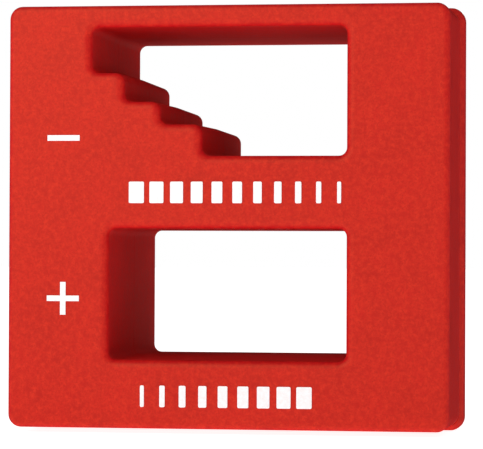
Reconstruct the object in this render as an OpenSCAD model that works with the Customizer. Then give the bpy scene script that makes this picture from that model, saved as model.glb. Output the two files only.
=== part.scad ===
// Two-hole screwdriver magnetizer and demagnetizer.
// A moulded case in two halves holds two ferrite blocks. A steel tool is drawn through the plain lower
// opening to magnetize it, and through the stepped upper opening to demagnetize it.
// X runs across the face, Y runs from the front face to the back face and Z is up. The origin is in the
// middle of the base. The case stands on the flat rim round its parting plane, at y = 0.

/* [Case] */
// Width of the case across its rim
body_w = 52; // [52:0.5:60]
// Height of the case across its rim
body_h = 49.5; // [49.5:0.5:56]
// Thickness of the case from face to face
body_t = 28; // [28:0.5:34]
// How far the rim round the parting plane stands out from the sides
rim_h = 0.5; // [0.3:0.1:0.6]
// Depth of the rim's share on the front half
front_rim = 1; // [0.6:0.2:2]
// Depth of the rim's share on the rear half
rear_rim = 1.6; // [0.6:0.2:3]
// How far the front half's sides draw in from the rim to the face
front_draft = 0.1; // [0.1:0.1:0.5]
// How far the rear half's sides draw in from the rim to the back
rear_draft = 0.6; // [0.1:0.1:0.8]
// Radius of the rim's corners
rim_corner_r = 1.6; // [1.2:0.1:2]
// Radius of the front half's corners beside the rim
front_corner_r = 1.6; // [1.6:0.1:2.4]
// Radius of the rear half's corners beside the rim
rear_corner_r = 2.1; // [2.1:0.1:2.6]
// Radius of the rounded outer edge of each face
edge_r = 0.7; // [0.4:0.05:0.7]
// Thickness of the outer walls, measured in from the rim
wall = 2.2; // [1.8:0.1:2.2]
// Thickness of the front and back walls
face_wall = 2; // [1.6:0.1:2]

/* [Openings] */
// Height of the bar under the plain opening
base_bar = 8.4; // [8.4:0.1:9]
// Width of the plain opening at a face
plain_w = 27.4; // [24:0.1:28]
// Height of the plain opening at a face
plain_h = 15.05; // [14:0.05:15.5]
// Height of the bar between the openings
bridge_bar = 8.25; // [8.1:0.05:9]
// Height of the stepped opening at its deep end
stepped_h = 14.75; // [14.5:0.05:15]
// Lengths of the three treads, from the shallow end
tread_runs = [3.75, 4.2, 4.85];
// Heights of the three treads over the opening's floor
tread_heights = [9.5, 6.2, 3.6];
// Width of the stepped opening at a face
stepped_w = 29.4; // [28:0.1:30]
// How far each opening's walls draw in from a face to the parting plane
opening_draft = 0.15; // [0.1:0.05:0.5]
// Radius of the openings' corners at the parting plane
opening_r = 0.8; // [0.5:0.1:1]
// Radius of the rounded edge round each opening's mouth
mouth_r = 0.9; // [0.4:0.1:1]
// Radius of the rounded noses of the treads at a face
nose_r = 1; // [0.4:0.1:1.2]
// Thickness of the tunnel walls round the openings at a face
tunnel_wall = 1.4; // [1:0.1:1.4]

/* [Magnets] */
// Length of a magnet along X
magnet_w = 40; // [30:1:40]
// Depth of a magnet along Y
magnet_d = 22; // [18:1:22]
// Thickness of a magnet along Z
magnet_h = 4.7; // [4:0.1:4.7]
// Gap between a magnet's end and its stop rib
magnet_gap = 0.2; // [0.1:0.1:0.4]
// Thickness of the stop ribs
rib_t = 1.2; // [0.8:0.1:1.6]

/* [Press pins] */
// Radius of the pins that hold the halves together
pin_r = 1.6; // [1.2:0.1:1.8]
// Length of a pin past the parting plane
pin_l = 6; // [4:0.5:8]
// Radial gap between a pin and its socket
pin_gap = 0.05; // [0.02:0.01:0.1]
// Room left past a pin's end in its socket
pin_end_gap = 0.6; // [0.2:0.1:1]
// Radius of the bosses that carry pins and sockets
boss_r = 3; // [2.6:0.1:3.2]

/* [Printed marks] */
// Thickness of the ink on the front face
ink_t = 0.08; // [0.05:0.01:0.12]
// Length of the strokes of the plus and the minus
sign_size = 3.75; // [3:0.05:4.5]
// Width of the strokes of the plus and the minus
sign_stroke = 0.64; // [0.5:0.02:0.8]
// Distance of the signs' centres from the middle of the case
sign_x = 18.9; // [18.5:0.1:20]
// Height of a scale's bars
scale_h = 2.45; // [2:0.05:3]
// Width of a scale's widest bar
bar_max = 1.75; // [1:0.05:1.9]
// Width of a scale's narrowest bar
bar_min = 0.45; // [0.3:0.05:0.8]
// Corner radius of a scale's bars
bar_r = 0.15; // [0.1:0.05:0.15]

/* [Hidden] */
$fn = 64;
case_red = [0.80, 0.16, 0.12];
ferrite_grey = [0.20, 0.20, 0.21];
ink_white = [0.96, 0.95, 0.94];

half_t = body_t / 2;
inner_depth = half_t - face_wall;
// Slack that lets a cutter run past a face
over = 1;
// How far ribs and pads reach past a magnet, above and below
seat_lap = 1;
// How much larger than nose_r a nose's rounding is drawn, so that it crosses both sides of the nose
nose_swell = 1.06;

// Openings, given as they are at a face
plain_x0 = -plain_w / 2;
plain_z0 = base_bar;
plain_z1 = plain_z0 + plain_h;
stepped_x1 = plain_w / 2;
stepped_x0 = stepped_x1 - stepped_w;
stepped_z0 = plain_z1 + bridge_bar;
stepped_z1 = stepped_z0 + stepped_h;
riser_x = [stepped_x0 + tread_runs[0],
           stepped_x0 + tread_runs[0] + tread_runs[1],
           stepped_x0 + tread_runs[0] + tread_runs[1] + tread_runs[2]];
tread_z = [for (h = tread_heights) stepped_z0 + h];

// Each of the stepped opening's four bays: left end, right end and floor
bays = [[stepped_x0, riser_x[0], tread_z[0]],
        [riser_x[0], riser_x[1], tread_z[1]],
        [riser_x[1], riser_x[2], tread_z[2]],
        [riser_x[2], stepped_x1, stepped_z0]];

// Press pins, as [x, z], in the columns beside the openings
pin_places = [[-20.2, 15.9], [20.2, 15.9], [-20.4, 41], [20.2, 38]];

// Magnet pockets, each as the height of its floor
base_floor = (wall + plain_z0 - tunnel_wall) / 2 - magnet_h / 2;
bridge_floor = (plain_z1 + stepped_z0) / 2 - magnet_h / 2;
pad_d = inner_depth - magnet_d / 2;
pad_w = 4;
pad_x = magnet_w / 4;

// Scales, each as [left end, pitch, count, bottom]
fading = [-11.25, 2.33, 11, 26.3];
rising = [-10.5, 2.33, 9, 3.1];
minus_z = 33.75;
plus_z = 15.4;

// ---------------------------------------------------------------- outlines of the case and openings

// Section of the side and rounded edge of one half: x runs out from the centre of a corner, y runs along
// the case's depth. It starts inside the rim and ends at the face.
module side_edge(corner_r, rim_d, draft) {
    turn_y = half_t - edge_r;
    turn_r = corner_r - draft;
    start = rim_d / 2;
    difference() {
        polygon([[0, start], [corner_r, start], [corner_r, rim_d], [turn_r, turn_y], [turn_r, half_t],
                 [0, half_t]]);
        difference() {
            translate([turn_r - edge_r, turn_y]) square(edge_r + over);
            translate([turn_r - edge_r, turn_y]) circle(edge_r);
        }
    }
}

// Section of an opening's edge, drawn the same way: narrowest at the parting plane, flared at the face.
module opening_edge() {
    turn_y = half_t - mouth_r;
    turn_r = opening_r + opening_draft * turn_y / half_t;
    difference() {
        polygon([[0, -over], [opening_r, -over], [opening_r, 0], [turn_r, turn_y],
                 [turn_r + mouth_r, turn_y], [turn_r + mouth_r, half_t + over], [0, half_t + over]]);
        translate([turn_r + mouth_r, turn_y]) circle(mouth_r);
    }
}

// A block between y0 and y1 whose sides carry an edge section all the way round. The corners of the
// outline are the centres of its rounded corners, as [x, z], anticlockwise as seen from the front.
// Every side runs along X or Z. Where the outline turns inwards, two sides meet in a sharp nose.
module edged_block(outline, y0, y1) {
    n = len(outline);
    translate([0, y1, 0]) rotate([90, 0, 0]) linear_extrude(y1 - y0) polygon(outline);
    for (i = [0 : n - 1]) {
        before = outline[i] - outline[(i + n - 1) % n];
        along = outline[(i + 1) % n] - outline[i];
        turn = before[0] * along[1] - before[1] * along[0];
        translate([outline[i][0], 0, outline[i][1]]) rotate([0, -atan2(along[1], along[0]), 0]) {
            rotate([0, 90, 0]) linear_extrude(norm(along)) children();
            if (turn > 0)
                rotate([-90, 0, 0]) rotate([0, 0, 90]) rotate_extrude(angle = 90) children();
        }
    }
}

// The four corners of a rectangle, anticlockwise from the lower left.
function rectangle(x0, x1, z0, z1) = [[x0, z0], [x1, z0], [x1, z1], [x0, z1]];

// The stepped opening's outline drawn in by r, anticlockwise from the lower end of the lowest riser.
function stair(r) = [
    [riser_x[2] + r, stepped_z0 + r], [stepped_x1 - r, stepped_z0 + r],
    [stepped_x1 - r, stepped_z1 - r], [stepped_x0 + r, stepped_z1 - r],
    for (i = [0 : len(tread_z) - 1]) each [
        [(i == 0 ? stepped_x0 : riser_x[i - 1]) + r, tread_z[i] + r],
        [riser_x[i] + r, tread_z[i] + r]
    ]
];

// A block with the case's outline drawn in by inset, whose corners have the radius corner_r.
module case_block(inset, corner_r, y0, y1) {
    x = body_w / 2 - inset - corner_r;
    edged_block(rectangle(-x, x, inset + corner_r, body_h - inset - corner_r), y0, y1) children();
}

// The solid outline of one half, from the parting plane back to y = half_t.
module half_block(rim_d, corner_r, draft) {
    case_block(0, rim_corner_r, 0, rim_d) square([rim_corner_r, rim_d]);
    case_block(rim_h, corner_r, rim_d / 2, half_t) side_edge(corner_r, rim_d, draft);
}

// The part of a tread's nose that its rounding takes away. The centre of the rounding keeps its place
// as the opening draws in towards the parting plane, so the radius grows with it.
module nose_cut(x, z) {
    reach = nose_r + opening_draft + mouth_r + over;
    round_r = nose_r * nose_swell;
    translate([x - nose_r, 0, z - nose_r]) difference() {
        translate([0, -over, 0]) cube([reach, half_t + 2 * over, reach]);
        translate([0, -2 * over, 0]) rotate([-90, 0, 0])
            cylinder(h = 2 * over, r = round_r + opening_draft);
        rotate([-90, 0, 0]) cylinder(h = half_t, r1 = round_r + opening_draft, r2 = round_r);
        translate([0, half_t, 0]) rotate([-90, 0, 0]) cylinder(h = 2 * over, r = round_r);
    }
}

// Both openings of one half.
module opening_cuts() {
    r = opening_r + opening_draft;
    plain = rectangle(plain_x0 + r, -plain_x0 - r, plain_z0 + r, plain_z1 - r);
    edged_block(plain, -over, half_t + over) opening_edge();
    edged_block(stair(r), -over, half_t + over) opening_edge();
    for (i = [0 : len(tread_z) - 1]) nose_cut(riser_x[i], tread_z[i]);
}

// ---------------------------------------------------------------- inside of the case

// A box round an opening, grown by the tunnel wall.
module tunnel(x0, x1, z0, z1) {
    translate([x0 - tunnel_wall, -over, z0 - tunnel_wall])
        cube([x1 - x0 + 2 * tunnel_wall, half_t + over, z1 - z0 + 2 * tunnel_wall]);
}

// Two upright ribs that stop a magnet's ends, and two pads that centre it between the faces.
module magnet_seat(floor_z) {
    stop_x = magnet_w / 2 + magnet_gap;
    for (side = [-1, 1]) {
        translate([side * (stop_x + rib_t / 2) - rib_t / 2, 0, floor_z - seat_lap])
            cube([rib_t, inner_depth + over / 2, magnet_h + 2 * seat_lap]);
        translate([side * pad_x - pad_w / 2, inner_depth - pad_d, floor_z - seat_lap])
            cube([pad_w, pad_d + over / 2, magnet_h + 2 * seat_lap]);
    }
}

// The hollow of one half: everything inside the walls that is not a tunnel, boss, rib or pad.
module hollow() {
    difference() {
        translate([wall - body_w / 2, -over, wall])
            cube([body_w - 2 * wall, inner_depth + over, body_h - 2 * wall]);
        tunnel(plain_x0, -plain_x0, plain_z0, plain_z1);
        for (bay = bays) tunnel(bay[0], stepped_x1, bay[2], stepped_z1);
        magnet_seat(base_floor);
        magnet_seat(bridge_floor);
        for (p = pin_places) translate([p[0], 0, p[1]]) rotate([-90, 0, 0])
            cylinder(h = inner_depth + over / 2, r = boss_r);
    }
}

// One half of the case, drawn with its face towards +Y.
module half_shell(rim_d, corner_r, draft) {
    difference() {
        half_block(rim_d, corner_r, draft);
        opening_cuts();
        hollow();
    }
}

// ---------------------------------------------------------------- parts

module front_shell() {
    color(case_red) mirror([0, 1, 0]) difference() {
        half_shell(front_rim, front_corner_r, front_draft);
        for (p = pin_places) translate([p[0], -over, p[1]]) rotate([-90, 0, 0])
            cylinder(h = over + pin_l + pin_end_gap, r = pin_r + pin_gap);
    }
}

module rear_shell() {
    color(case_red) {
        half_shell(rear_rim, rear_corner_r, rear_draft);
        for (p = pin_places) translate([p[0], over, p[1]]) rotate([90, 0, 0])
            cylinder(h = over + pin_l, r = pin_r);
    }
}

// A ferrite block with its lower edge at height z.
module magnet(z) {
    color(ferrite_grey) translate([-magnet_w / 2, -magnet_d / 2, z])
        cube([magnet_w, magnet_d, magnet_h]);
}

module bridge_magnet() {
    magnet(bridge_floor);
}

module base_magnet() {
    magnet(base_floor);
}

// A flat film of ink on the front face, from an outline drawn with x across and y up.
module ink_film() {
    color(ink_white) translate([0, -half_t, 0]) rotate([90, 0, 0]) linear_extrude(ink_t) children();
}

module stroke(length, width) {
    square([length, width], center = true);
}

module minus_mark() {
    ink_film() translate([-sign_x, minus_z]) stroke(sign_size, sign_stroke);
}

module plus_mark() {
    ink_film() translate([-sign_x, plus_z]) {
        stroke(sign_size, sign_stroke);
        stroke(sign_stroke, sign_size);
    }
}

// A bar with rounded corners whose lower left corner is at the origin.
module bar(width) {
    translate([bar_r, 0]) square([width - 2 * bar_r, scale_h]);
    translate([0, bar_r]) square([width, scale_h - 2 * bar_r]);
    for (x = [bar_r, width - bar_r], y = [bar_r, scale_h - bar_r]) translate([x, y]) circle(bar_r);
}

// A row of bars whose widths go evenly from first_w to last_w.
module scale_row(place, first_w, last_w) {
    count = place[2];
    for (i = [0 : count - 1]) {
        width = first_w + (last_w - first_w) * i / (count - 1);
        translate([place[0] + place[1] * i + (bar_max - width) / 2, place[3]]) bar(width);
    }
}

module fading_scale() {
    ink_film() scale_row(fading, bar_max, bar_min);
}

module rising_scale() {
    ink_film() scale_row(rising, bar_min, bar_max);
}

front_shell();
rear_shell();
bridge_magnet();
base_magnet();
minus_mark();
plus_mark();
fading_scale();
rising_scale();
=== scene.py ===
"""Looks for the two-hole screwdriver magnetizer: moulded case halves, printed marks, magnets, studio."""
import math

import bmesh
import bpy
from mathutils import Matrix, Vector
from mathutils.geometry import delaunay_2d_cdt


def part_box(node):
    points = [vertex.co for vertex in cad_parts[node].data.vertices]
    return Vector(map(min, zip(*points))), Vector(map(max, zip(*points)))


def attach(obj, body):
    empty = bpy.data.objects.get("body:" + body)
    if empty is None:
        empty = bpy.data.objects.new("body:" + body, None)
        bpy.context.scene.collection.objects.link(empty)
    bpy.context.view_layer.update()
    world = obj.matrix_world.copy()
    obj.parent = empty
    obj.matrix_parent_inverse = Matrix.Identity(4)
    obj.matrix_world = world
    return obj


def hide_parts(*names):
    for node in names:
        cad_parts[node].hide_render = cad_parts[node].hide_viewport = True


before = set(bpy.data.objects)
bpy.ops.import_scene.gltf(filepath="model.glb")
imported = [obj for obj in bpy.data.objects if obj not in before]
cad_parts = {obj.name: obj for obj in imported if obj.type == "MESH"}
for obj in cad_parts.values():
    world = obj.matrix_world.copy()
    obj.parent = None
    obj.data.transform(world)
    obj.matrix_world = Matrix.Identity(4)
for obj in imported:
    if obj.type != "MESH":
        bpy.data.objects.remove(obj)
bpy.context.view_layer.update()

MM = 0.001

# ---------------------------------------------------------------- driving sizes, in millimetres

# The case's outline, from the CAD's front half: its rim gives the width and height, its face the depth
shell_lo, shell_hi = (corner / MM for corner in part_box("front_shell"))
HALF_W = shell_hi.x
HEIGHT = shell_hi.z
HALF_T = -shell_lo.y

# The rim round the parting plane, with a short slope down its ledge
RIM_H = 0.5
RIM_SLOPE = 0.6
FRONT_RIM, REAR_RIM = 1.0, 1.6
FRONT_DRAFT, REAR_DRAFT = 0.1, 0.6
RIM_CORNER_R = 1.6
FRONT_CORNER_R, REAR_CORNER_R = 1.6, 2.1
EDGE_R = 0.7
# Chamfer of the rim at the parting plane
SEAM = 0.06
# Walls beside the rim, and behind each face
WALL = 1.7
FACE_WALL = 2.0

# The openings, as they are at a face
BASE_BAR = 8.4
PLAIN_W = 27.4
PLAIN_H = 15.05
BRIDGE_BAR = 8.25
STEPPED_W = 29.4
STEPPED_H = 14.75
TREAD_RUNS = (3.75, 4.2, 4.85)
TREAD_HEIGHTS = (9.5, 6.2, 3.6)
OPENING_DRAFT = 0.15
OPENING_R = 0.8
MOUTH_R = 0.9
# The treads' noses, which have to be rounder than the mouth's edge
NOSE_R = 1.1
TUNNEL_WALL = 1.4

# The press pins and the ribs and pads that seat the magnets
PIN_R = 1.6
PIN_L = 6.0
PIN_GAP = 0.05
PIN_END_GAP = 0.6
PIN_TIP = 0.4
BOSS_R = 3.0
PIN_PLACES = ((-20.2, 15.9), (20.2, 15.9), (-20.4, 41.0), (20.2, 38.0))
MAGNET_GAP = 0.2
MAGNET_EDGE = 0.25
RIB_T = 1.2
PAD_W = 4.0
SEAT_LAP = 1.0

PLAIN_X0, PLAIN_X1 = -PLAIN_W / 2, PLAIN_W / 2
PLAIN_Z0, PLAIN_Z1 = BASE_BAR, BASE_BAR + PLAIN_H
STEPPED_X0, STEPPED_X1 = PLAIN_X1 - STEPPED_W, PLAIN_X1
STEPPED_Z0 = PLAIN_Z1 + BRIDGE_BAR
STEPPED_Z1 = STEPPED_Z0 + STEPPED_H


# ---------------------------------------------------------------- camera

LENS = 192.4
LENS_SHIFT = -0.12
CAMERA_AT = (50.29, -302.44, 20.29)
YAW, PITCH, ROLL = 8.26, 0.71, 0.23


def make_camera():
    """A long lens a little to the right of the object and just below its middle."""
    data = bpy.data.cameras.new("camera")
    data.sensor_width = 36.0
    data.lens = LENS
    data.shift_x = LENS_SHIFT
    data.clip_start = 0.01
    data.clip_end = 20.0
    cam = bpy.data.objects.new("camera", data)
    bpy.context.scene.collection.objects.link(cam)
    yaw, pitch, roll = math.radians(YAW), math.radians(PITCH), math.radians(ROLL)
    ahead = Vector((-math.sin(yaw) * math.cos(pitch), math.cos(yaw) * math.cos(pitch), math.sin(pitch)))
    level = Vector((math.cos(yaw), math.sin(yaw), 0.0))
    up = level.cross(ahead)
    right = level * math.cos(roll) + up * math.sin(roll)
    up = right.cross(ahead)
    turn = Matrix((right, up, -ahead)).transposed()
    place = Vector(CAMERA_AT) * MM
    cam.matrix_world = Matrix.Translation(place) @ turn.to_4x4()
    bpy.context.scene.camera = cam


make_camera()


# ---------------------------------------------------------------- outlines

class Outline:
    """A closed outline of straight sides along X and Z with rounded corners, anticlockwise from the front.

    radius is the radius of the corners that turn outwards and nose is that of the ones that turn inwards,
    both where the outline has no offset. points(d) moves every side outwards by d and keeps the centres
    of all the corners, so the rings at different offsets have matching points.
    """

    # Steps round each corner, and the length of straight kept beside it to hold its shading
    STEPS = 10
    SUPPORT = 0.06

    def __init__(self, corners, radius, nose=0.0):
        self.parts = []
        count = len(corners)
        for i, corner in enumerate(corners):
            here = Vector(corner)
            into = (here - Vector(corners[i - 1])).normalized()
            out = (Vector(corners[(i + 1) % count]) - here).normalized()
            left_turn = into.x * out.y - into.y * out.x > 0
            r = radius if left_turn else nose
            centre = here - into * r + out * r
            start = Vector((into.y, -into.x)) if left_turn else Vector((-into.y, into.x))
            self.parts.append((centre, start, into, out, r, left_turn))

    def points(self, d):
        """The outline's points when every side has moved outwards by d."""
        ring = []
        for centre, start, into, out, r, left_turn in self.parts:
            reach = r + d if left_turn else r - d
            turn = 1 if left_turn else -1
            ring.append(centre + start * reach - into * self.SUPPORT)
            for k in range(self.STEPS + 1):
                a = turn * math.pi / 2 * k / self.STEPS
                spoke = Vector((start.x * math.cos(a) - start.y * math.sin(a),
                                start.x * math.sin(a) + start.y * math.cos(a)))
                ring.append(centre + spoke * reach)
            end = Vector((out.y, -out.x)) if left_turn else Vector((-out.y, out.x))
            ring.append(centre + end * reach + out * self.SUPPORT)
        return ring


def rectangle(x0, x1, z0, z1):
    """The corners of a rectangle, anticlockwise from the lower left."""
    return [(x0, z0), (x1, z0), (x1, z1), (x0, z1)]


def stair():
    """The stepped opening at a face, anticlockwise from the foot of its lowest riser."""
    treads = [STEPPED_Z0 + h for h in TREAD_HEIGHTS]
    risers = [STEPPED_X0 + sum(TREAD_RUNS[:i + 1]) for i in range(len(TREAD_RUNS))]
    ring = [(risers[-1], STEPPED_Z0), (STEPPED_X1, STEPPED_Z0),
            (STEPPED_X1, STEPPED_Z1), (STEPPED_X0, STEPPED_Z1)]
    for i, tread in enumerate(treads):
        ring.append((STEPPED_X0 if i == 0 else risers[i - 1], tread))
        ring.append((risers[i], tread))
    return ring


RIM = Outline(rectangle(-HALF_W, HALF_W, 0.0, HEIGHT), RIM_CORNER_R)
PLAIN = Outline(rectangle(PLAIN_X0, PLAIN_X1, PLAIN_Z0, PLAIN_Z1), OPENING_R + OPENING_DRAFT)
STEPPED = Outline(stair(), OPENING_R + OPENING_DRAFT, NOSE_R)


# ---------------------------------------------------------------- one half of the case

# Steps round a face's rounded edge, and down a wall
FILLET_STEPS = 8
WALL_STEPS = 6
# Distances of the rings that keep a flat flat, before a rounded edge and past it
BEFORE_EDGE = 0.12
PAST_EDGE = 0.06
# Where the seam's chamfer turns, as a share of its depth
SEAM_TURN = 0.3
# Half the length over which the rim's flat turns into its slope, in steps of half of that
RIM_TURN = 0.2
# How far the slope runs on inside the case, as a share of its visible length
RIM_FOOT = 1.2
# The openings' seam is finer than the outer one
OPENING_SEAM = 0.7
# Edges that turn by more than this, in degrees, are shaded sharp
SHARP = 14


def side(corner_r):
    """The outline of a half's side where it meets the rim, whose corners have the radius corner_r."""
    x = HALF_W - RIM_H
    return Outline(rectangle(-x, x, RIM_H, HEIGHT - RIM_H), corner_r)


def rim_levels(flat):
    """(depth from the parting plane, offset) round the rim, from the seam down its slope into the side."""
    levels = [(0.0, -SEAM), (SEAM * SEAM_TURN, -SEAM * SEAM_TURN), (SEAM, 0.0), (SEAM * 2, 0.0),
              (flat - RIM_TURN * 1.2, 0.0)]
    for k in range(-2, 3):
        reach = RIM_TURN * k / 2
        drop = (reach + RIM_TURN) ** 2 / (4 * RIM_TURN)
        levels.append((flat + reach, -drop * RIM_H / RIM_SLOPE))
    for k in (0.6, 1.0, RIM_FOOT):
        levels.append((flat + RIM_SLOPE * k, -RIM_H * k))
    return levels


def fillet(turn, offset, r, sign):
    """Levels round an edge of radius r that ends at the face.

    turn is the depth where the edge starts and offset is the side's offset there. sign is -1 where the
    edge draws in and 1 where it flares.
    """
    levels = []
    for k in range(FILLET_STEPS + 1):
        a = math.pi / 2 * k / FILLET_STEPS
        levels.append((turn + r * math.sin(a), offset + sign * r * (1 - math.cos(a))))
    levels.append((HALF_T, offset + sign * (r + PAST_EDGE)))
    return levels


def side_levels(flat, draft):
    """(depth from the parting plane, offset) down a half's side, from the seam to the flat of the face."""
    turn = HALF_T - EDGE_R
    levels = [(0.0, 0.0), (flat, 0.0)]
    for k in range(1, WALL_STEPS):
        y = flat + (turn - flat) * k / WALL_STEPS
        levels.append((y, -draft * (y - flat) / (turn - flat)))
    levels.append((turn - BEFORE_EDGE, -draft))
    return levels + fillet(turn, -draft, EDGE_R, -1)


def opening_levels():
    """(depth from the parting plane, offset) down an opening's wall, from the seam to the face."""
    turn = HALF_T - MOUTH_R
    slope = OPENING_DRAFT / HALF_T
    seam = SEAM * OPENING_SEAM
    levels = [(0.0, seam - OPENING_DRAFT), (seam * SEAM_TURN, seam * SEAM_TURN - OPENING_DRAFT),
              (seam, -OPENING_DRAFT), (seam * 2, -OPENING_DRAFT)]
    for k in range(1, WALL_STEPS):
        y = turn * k / WALL_STEPS
        levels.append((y, slope * y - OPENING_DRAFT))
    at_turn = -slope * MOUTH_R
    levels.append((turn - BEFORE_EDGE, at_turn))
    return levels + fillet(turn, at_turn, MOUTH_R, 1)


def add_rings(bm, outline, levels, side_y):
    """Lofts an outline through its levels and returns the first and last rings of vertices."""
    rings = []
    for y, d in levels:
        rings.append([bm.verts.new((p.x * MM, side_y * y * MM, p.y * MM)) for p in outline.points(d)])
    for low, high in zip(rings, rings[1:]):
        for i in range(len(low)):
            j = (i + 1) % len(low)
            bm.faces.new((low[i], low[j], high[j], high[i])).smooth = True
    return rings[0], rings[-1]


def fill(bm, rings, smooth):
    """Fills the flat inside the first ring. The other rings are holes in it."""
    verts = [v for ring in rings for v in ring]
    at, edges = 0, []
    for ring in rings:
        n = len(ring)
        edges += [(at + i, at + (i + 1) % n) for i in range(n)]
        at += n
    flat = [Vector((v.co.x, v.co.z)) for v in verts]
    _, _, faces, _, _, _ = delaunay_2d_cdt(flat, edges, [], 0, 1e-9)
    inside = even_odd([[Vector((v.co.x, v.co.z)) for v in ring] for ring in rings])
    for face in faces:
        middle = sum((flat[i] for i in face), Vector((0.0, 0.0))) / len(face)
        if inside(middle):
            bm.faces.new([verts[i] for i in face]).smooth = smooth


def even_odd(loops):
    """A test of whether a point lies inside the first loop and outside the others."""
    def inside(p):
        hits = 0
        for loop in loops:
            for a, b in zip(loop, loop[1:] + loop[:1]):
                if (a.y > p.y) != (b.y > p.y) and p.x < a.x + (b.x - a.x) * (p.y - a.y) / (b.y - a.y):
                    hits += 1
        return hits % 2 == 1
    return inside


def new_object(name, bm):
    """Turns a bmesh into a linked object."""
    bmesh.ops.recalc_face_normals(bm, faces=bm.faces)
    mesh = bpy.data.meshes.new(name)
    bm.to_mesh(mesh)
    bm.free()
    obj = bpy.data.objects.new(name, mesh)
    bpy.context.scene.collection.objects.link(obj)
    return obj


def rim_ring(ledge, side_y):
    """The rim of one half as a ring that reaches into the case's wall. Its slope straddles the ledge."""
    inset = RIM_H + WALL / 2
    inner = Outline(rectangle(inset - HALF_W, HALF_W - inset, inset, HEIGHT - inset), RIM_CORNER_R / 2)
    bm = bmesh.new()
    flat = ledge - RIM_SLOPE / 2
    seam, foot = add_rings(bm, RIM, rim_levels(flat), side_y)
    inner_seam, inner_foot = add_rings(bm, inner, [(0.0, 0.0), (flat + RIM_FOOT * RIM_SLOPE, 0.0)], side_y)
    fill(bm, [seam, inner_seam], False)
    fill(bm, [foot, inner_foot], False)
    return new_object("rim", bm)


def half_solid(name, side_y, flat, corner_r, draft):
    """One half as a solid block with both openings. side_y is -1 for the front half and 1 for the rear."""
    bm = bmesh.new()
    side_seam, side_face = add_rings(bm, side(corner_r), side_levels(flat, draft), side_y)
    plain_seam, plain_face = add_rings(bm, PLAIN, opening_levels(), side_y)
    stair_seam, stair_face = add_rings(bm, STEPPED, opening_levels(), side_y)
    fill(bm, [side_face, plain_face, stair_face], True)
    fill(bm, [side_seam, plain_seam, stair_seam], False)
    half = new_object(name, bm)
    combine(half, [rim_ring(flat, side_y)], "UNION")
    return half


def block(x0, x1, y0, y1, z0, z1):
    """A box as a scratch object for cutting."""
    bm = bmesh.new()
    bmesh.ops.create_cube(bm, size=1.0)
    size = Vector((x1 - x0, y1 - y0, z1 - z0)) * MM
    middle = Vector((x0 + x1, y0 + y1, z0 + z1)) * MM / 2
    for v in bm.verts:
        v.co = Vector((v.co.x * size.x, v.co.y * size.y, v.co.z * size.z)) + middle
    return new_object("scratch", bm)


def rod(x, z, r, y0, y1, tip=0.0):
    """A round bar along Y as a scratch object. tip is the chamfer at its y1 end."""
    steps = 40
    bm = bmesh.new()
    levels = [(y0, r), (y1, r)]
    if tip:
        levels = [(y0, r), (y1 - math.copysign(tip, y1 - y0), r), (y1, r - tip)]
    rings = []
    for y, radius in levels:
        turns = [2 * math.pi * k / steps for k in range(steps)]
        rings.append([bm.verts.new(((x + radius * math.cos(a)) * MM, y * MM,
                                    (z + radius * math.sin(a)) * MM)) for a in turns])
    for low, high in zip(rings, rings[1:]):
        for i in range(len(low)):
            j = (i + 1) % len(low)
            bm.faces.new((low[i], low[j], high[j], high[i]))
    bm.faces.new(rings[0])
    bm.faces.new(rings[-1])
    return new_object("scratch", bm)


def combine(target, tools, operation):
    """Adds the scratch objects to the target or cuts them from it, applies the result and deletes them."""
    group = bpy.data.collections.new("tools")
    for tool in tools:
        group.objects.link(tool)
    mod = target.modifiers.new("combine", "BOOLEAN")
    mod.operation = operation
    mod.solver = "EXACT"
    mod.operand_type = "COLLECTION"
    mod.collection = group
    mesh = bpy.data.meshes.new_from_object(target.evaluated_get(bpy.context.evaluated_depsgraph_get()))
    target.modifiers.clear()
    mesh.set_sharp_from_angle(angle=math.radians(SHARP))
    target.data = mesh
    for tool in tools:
        bpy.data.objects.remove(tool)
    bpy.data.collections.remove(group)


def hollow(side_y):
    """The space inside one half: a block less the tunnels, bosses, stop ribs and pads."""
    deep = HALF_T - FACE_WALL
    # The kept shapes run past the hollow on both sides of it
    start, end = -2, deep + 0.5

    def kept_block(x0, x1, y0, z0, z1):
        return block(x0, x1, *sorted((side_y * y0, side_y * end)), z0, z1)

    def tunnel(x0, x1, z0, z1):
        return kept_block(x0 - TUNNEL_WALL, x1 + TUNNEL_WALL, start, z0 - TUNNEL_WALL, z1 + TUNNEL_WALL)

    inset = RIM_H + WALL
    space = block(inset - HALF_W, HALF_W - inset, *sorted((-side_y, side_y * deep)), inset, HEIGHT - inset)
    kept = [tunnel(PLAIN_X0, PLAIN_X1, PLAIN_Z0, PLAIN_Z1)]
    x0 = STEPPED_X0
    for run, height in zip(TREAD_RUNS, TREAD_HEIGHTS):
        kept.append(tunnel(x0, STEPPED_X1, STEPPED_Z0 + height, STEPPED_Z1))
        x0 += run
    kept.append(tunnel(x0, STEPPED_X1, STEPPED_Z0, STEPPED_Z1))
    for x, z in PIN_PLACES:
        kept.append(rod(x, z, BOSS_R, *sorted((side_y * start, side_y * end))))
    for node in ("base_magnet", "bridge_magnet"):
        lo, hi = (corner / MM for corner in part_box(node))
        z0, z1 = lo.z - SEAT_LAP, hi.z + SEAT_LAP
        for x in (lo.x - MAGNET_GAP - RIB_T, hi.x + MAGNET_GAP):
            kept.append(kept_block(x, x + RIB_T, start, z0, z1))
        for x in (lo.x / 2, hi.x / 2):
            kept.append(kept_block(x - PAD_W / 2, x + PAD_W / 2, abs(lo.y), z0, z1))
    combine(space, kept, "DIFFERENCE")
    return space


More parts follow.
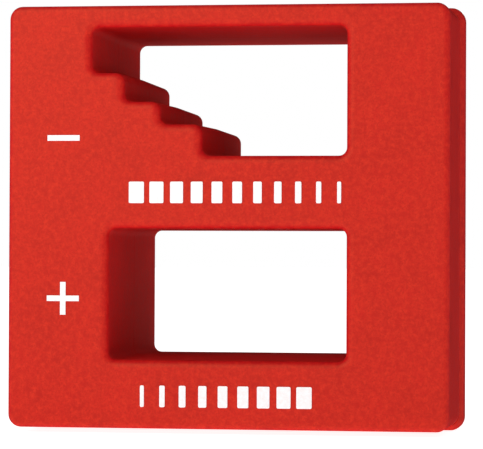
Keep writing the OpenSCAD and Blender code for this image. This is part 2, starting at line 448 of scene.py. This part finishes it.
def make_front_shell():
    """The half with the marks, which has the sockets."""
    shell = half_solid("front_half", -1, FRONT_RIM, FRONT_CORNER_R, FRONT_DRAFT)
    combine(shell, [hollow(-1)], "DIFFERENCE")
    sockets = [rod(x, z, PIN_R + PIN_GAP, 1, -(PIN_L + PIN_END_GAP)) for x, z in PIN_PLACES]
    combine(shell, sockets, "DIFFERENCE")
    return shell


def make_rear_shell():
    """The half at the back, which has the press pins."""
    shell = half_solid("rear_half", 1, REAR_RIM, REAR_CORNER_R, REAR_DRAFT)
    combine(shell, [hollow(1)], "DIFFERENCE")
    pins = [rod(x, z, PIN_R, 1, -PIN_L, tip=PIN_TIP) for x, z in PIN_PLACES]
    combine(shell, pins, "UNION")
    return shell


# ---------------------------------------------------------------- materials

class Nodes:
    """A short way to write a material's node tree. Noise scales are in cycles per metre."""

    def __init__(self, name):
        self.material = bpy.data.materials.new(name)
        self.material.use_nodes = True
        self.tree = self.material.node_tree
        self.tree.nodes.clear()
        self.out = self.tree.nodes.new("ShaderNodeOutputMaterial")

    def add(self, kind, inputs=(), **settings):
        """A node of the given kind. inputs maps its sockets to values or to other nodes' sockets."""
        node = self.tree.nodes.new("ShaderNode" + kind)
        for key, value in settings.items():
            setattr(node, key, value)
        for key, value in dict(inputs).items():
            if isinstance(value, bpy.types.NodeSocket):
                self.tree.links.new(value, node.inputs[key])
            else:
                node.inputs[key].default_value = value
        return node

    def noise(self, where, scale, detail=3.0, roughness=0.55):
        node = self.add("TexNoise", {"Vector": where, "Scale": scale, "Detail": detail,
                                     "Roughness": roughness})
        return node.outputs["Fac"]

    def ramp(self, value, *stops):
        """A ramp of grey stops given as (position, value)."""
        node = self.add("ValToRGB", {"Fac": value})
        band = node.color_ramp
        while len(band.elements) < len(stops):
            band.elements.new(0.5)
        for element, (place, grey) in zip(band.elements, stops):
            element.position = place
            element.color = (grey, grey, grey, 1.0)
        return node.outputs["Color"]

    def mix(self, factor, a, b):
        """A blend of two colours."""
        node = self.add("Mix", data_type="RGBA")
        for key, kind, value in (("Factor", "VALUE", factor), ("A", "RGBA", a), ("B", "RGBA", b)):
            socket = next(s for s in node.inputs if s.name == key and s.type == kind)
            if isinstance(value, bpy.types.NodeSocket):
                self.tree.links.new(value, socket)
            else:
                socket.default_value = value
        return next(s for s in node.outputs if s.type == "RGBA")

    def spread(self, value, low, high, **span):
        """Maps a value to the range from low to high."""
        inputs = {"Value": value, "To Min": low, "To Max": high}
        inputs.update({key.replace("_", " "): end for key, end in span.items()})
        return self.add("MapRange", inputs).outputs["Result"]

    def weighted(self, a, a_share, b, b_share):
        """The sum of two values, each times its share."""
        first = self.add("Math", {0: a, 1: a_share}, operation="MULTIPLY").outputs[0]
        second = self.add("Math", {0: b, 1: b_share}, operation="MULTIPLY").outputs[0]
        return self.add("Math", {0: first, 1: second}, operation="ADD").outputs[0]

    def bump(self, height, strength, distance):
        """A bump whose full height is the given distance in millimetres."""
        inputs = {"Height": height, "Strength": strength, "Distance": distance * MM}
        return self.add("Bump", inputs).outputs["Normal"]

    def finish(self, **inputs):
        """Joins a Principled shader with these inputs to the output and returns the material."""
        shader = self.add("BsdfPrincipled", {k.replace("_", " "): v for k, v in inputs.items()})
        self.tree.links.new(shader.outputs["BSDF"], self.out.inputs["Surface"])
        return self.material


def case_plastic():
    """Satin red ABS: pigment mottling, a fine spark-eroded grain and a slightly uneven sheen."""
    n = Nodes("red_abs")
    where = n.add("TexCoord").outputs["Object"]
    blotch = n.noise(where, 260.0, 3.0)
    mottle = n.noise(where, 1500.0, 5.0, 0.7)
    speck = n.noise(where, 4200.0, 2.0)
    deep = (0.490, 0.0030, 0.0085, 1.0)
    base = (0.590, 0.0045, 0.0100, 1.0)
    warm = (0.660, 0.0160, 0.0120, 1.0)
    colour = n.mix(n.ramp(blotch, (0.30, 0.0), (0.70, 1.0)), deep, base)
    colour = n.mix(n.ramp(mottle, (0.40, 0.0), (0.66, 1.0)), colour, warm)
    colour = n.mix(n.ramp(speck, (0.48, 0.0), (0.68, 0.75)), colour, deep)
    sheen = n.spread(mottle, 0.40, 0.50, From_Min=0.3, From_Max=0.7)
    grain = n.weighted(n.noise(where, 5200.0, 2.0), 0.7, mottle, 0.5)
    amber = (1.0, 0.85, 0.36, 1.0)
    return n.finish(Base_Color=colour, Roughness=sheen, Normal=n.bump(grain, 0.22, 0.06),
                    Specular_IOR_Level=0.40, Specular_Tint=amber)


def white_ink():
    """Pad-printed white ink, with faint thin spots and a dry surface."""
    n = Nodes("white_ink")
    where = n.add("TexCoord").outputs["Object"]
    cover = n.noise(where, 2200.0, 4.0, 0.65)
    pinhole = n.noise(where, 6500.0, 1.0)
    thin = (0.90, 0.84, 0.84, 1.0)
    full = (0.95, 0.96, 0.98, 1.0)
    bare = (0.85, 0.55, 0.52, 1.0)
    colour = n.mix(n.ramp(cover, (0.25, 0.0), (0.60, 1.0)), thin, full)
    colour = n.mix(n.ramp(pinhole, (0.70, 0.0), (0.80, 0.35)), colour, bare)
    return n.finish(Base_Color=colour, Roughness=n.spread(cover, 0.42, 0.6), Normal=n.bump(cover, 0.15, 0.03))


def ferrite():
    """Ground hard ferrite: dark grey, speckled, with fine grinding lines."""
    n = Nodes("ferrite")
    where = n.add("TexCoord").outputs["Object"]
    lines = n.add("Mapping", {"Vector": where, "Scale": (60.0, 4000.0, 4000.0)}).outputs["Vector"]
    ground = n.noise(lines, 1.0, 3.0)
    grit = n.noise(where, 3000.0, 5.0, 0.7)
    dark = (0.022, 0.022, 0.024, 1.0)
    pale = (0.075, 0.074, 0.074, 1.0)
    colour = n.mix(n.ramp(grit, (0.35, 0.0), (0.70, 1.0)), dark, pale)
    height = n.weighted(ground, 0.6, grit, 0.4)
    return n.finish(Base_Color=colour, Roughness=n.spread(grit, 0.5, 0.8), Normal=n.bump(height, 0.35, 0.05))


def set_material(obj, material):
    """Gives an object one material in place of any it has."""
    obj.data.materials.clear()
    obj.data.materials.append(material)


# ---------------------------------------------------------------- pieces

def soften(obj, width):
    """A small bevel on a CAD node's edges."""
    mod = obj.modifiers.new("soften", "BEVEL")
    mod.width = width * MM
    mod.segments = 2
    mod.limit_method = "ANGLE"
    mod.angle_limit = math.radians(40)


RED = case_plastic()
INK = white_ink()
FERRITE = ferrite()

for maker, node in ((make_front_shell, "front_shell"), (make_rear_shell, "rear_shell")):
    shell = maker()
    set_material(shell, RED)
    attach(shell, "root")
    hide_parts(node)

for node in ("minus_mark", "plus_mark", "fading_scale", "rising_scale"):
    set_material(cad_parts[node], INK)

for node in ("base_magnet", "bridge_magnet"):
    set_material(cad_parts[node], FERRITE)
    soften(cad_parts[node], MAGNET_EDGE)


# ---------------------------------------------------------------- studio

# Brightness of the floor's own light and of the sky's fill, where 1 is white
FLOOR_GLOW = 0.9
FILL_LIGHT = 0.36
FLOOR_SIZE = 4.0


def make_floor():
    """A pale floor that lights matt surfaces but isn't mirrored in satin ones."""
    bm = bmesh.new()
    bmesh.ops.create_grid(bm, x_segments=1, y_segments=1, size=FLOOR_SIZE)
    floor = new_object("floor", bm)
    floor.visible_glossy = False
    n = Nodes("pale_floor")
    where = n.add("TexCoord").outputs["Object"]
    shade = n.noise(where, 6.0, 2.0)
    colour = n.mix(n.ramp(shade, (0.3, 0.0), (0.7, 1.0)), (0.88, 0.88, 0.88, 1.0), (0.92, 0.92, 0.92, 1.0))
    set_material(floor, n.finish(Base_Color=colour, Roughness=0.9, Emission_Strength=FLOOR_GLOW,
                                 Emission_Color=(1.0, 1.0, 1.0, 1.0)))


def add_softbox(azimuth, elevation, distance, size, power, colour):
    """A square area light that looks at the middle of the case. Azimuth 0 is straight ahead of the face."""
    data = bpy.data.lights.new("softbox", "AREA")
    data.shape = "SQUARE"
    data.size = size
    data.energy = power
    data.color = colour
    a, e = math.radians(azimuth), math.radians(elevation)
    towards = Vector((math.sin(a) * math.cos(e), -math.cos(a) * math.cos(e), math.sin(e)))
    box = bpy.data.objects.new("softbox", data)
    box.location = Vector((0.0, 0.0, HEIGHT * MM / 2)) + towards * distance
    box.rotation_euler = towards.to_track_quat("Z", "Y").to_euler()
    bpy.context.scene.collection.objects.link(box)


def make_world():
    """White where the camera looks past the object, and an even fill on matt surfaces only."""
    world = bpy.data.worlds.new("studio")
    bpy.context.scene.world = world
    world.cycles_visibility.glossy = False
    world.use_nodes = True
    tree = world.node_tree
    tree.nodes.clear()
    out = tree.nodes.new("ShaderNodeOutputWorld")
    mix = tree.nodes.new("ShaderNodeMixShader")
    path = tree.nodes.new("ShaderNodeLightPath")
    tree.links.new(path.outputs["Is Camera Ray"], mix.inputs["Fac"])
    for slot, strength in ((1, FILL_LIGHT), (2, 1.0)):
        light = tree.nodes.new("ShaderNodeBackground")
        light.inputs["Color"].default_value = (1.0, 1.0, 1.0, 1.0)
        light.inputs["Strength"].default_value = strength
        tree.links.new(light.outputs["Background"], mix.inputs[slot])
    tree.links.new(mix.outputs["Shader"], out.inputs["Surface"])


make_floor()
make_world()
add_softbox(azimuth=-30, elevation=30, distance=0.22, size=0.2, power=0.208, colour=(1.0, 0.97, 0.92))
bpy.context.scene.view_settings.view_transform = "Standard"
